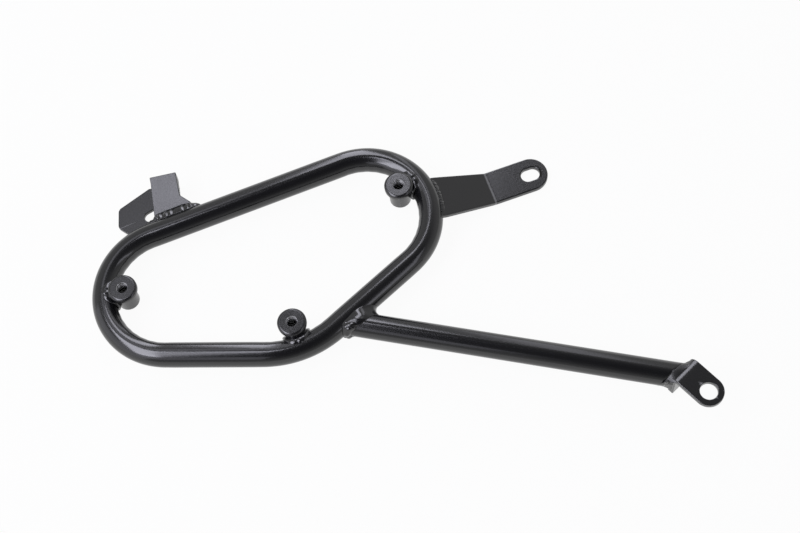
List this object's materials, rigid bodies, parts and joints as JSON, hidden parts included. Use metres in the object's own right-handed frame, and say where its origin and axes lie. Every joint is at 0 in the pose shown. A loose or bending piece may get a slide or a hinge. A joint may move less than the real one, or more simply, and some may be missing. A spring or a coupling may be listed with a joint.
{
  "type": "pannier frame",
  "caption": "Welded bent-tube loop with threaded bosses, a strut with a bolt tab, a slotted rear strap and a folded hanger bracket, to hold a side bag off a motorbike.",
  "frame": {"origin": "on the axis of the lower boss's thread, in the plane of the loop's tube axis", "axes": "+X along the loop's lower straight towards the strut, +Z along the threads towards the bag"},
  "size_m": [0.3957, 0.1813, 0.027],
  "materials": {
    "tube_coat": "satin black powder coat over bent steel tube",
    "plate_coat": "satin black powder coat over bent steel plate",
    "boss_coat": "satin black powder coat over turned steel, thread left in the bore"
  },
  "bodies": {
    "root": {"loop_tube": "tube_coat", "strut_tube": "tube_coat", "strut_tab": "plate_coat", "rear_strap": "plate_coat", "hanger_bracket": "plate_coat", "boss_lower": "boss_coat", "boss_left": "boss_coat", "boss_upper": "boss_coat"}
  },
  "joints": []
}
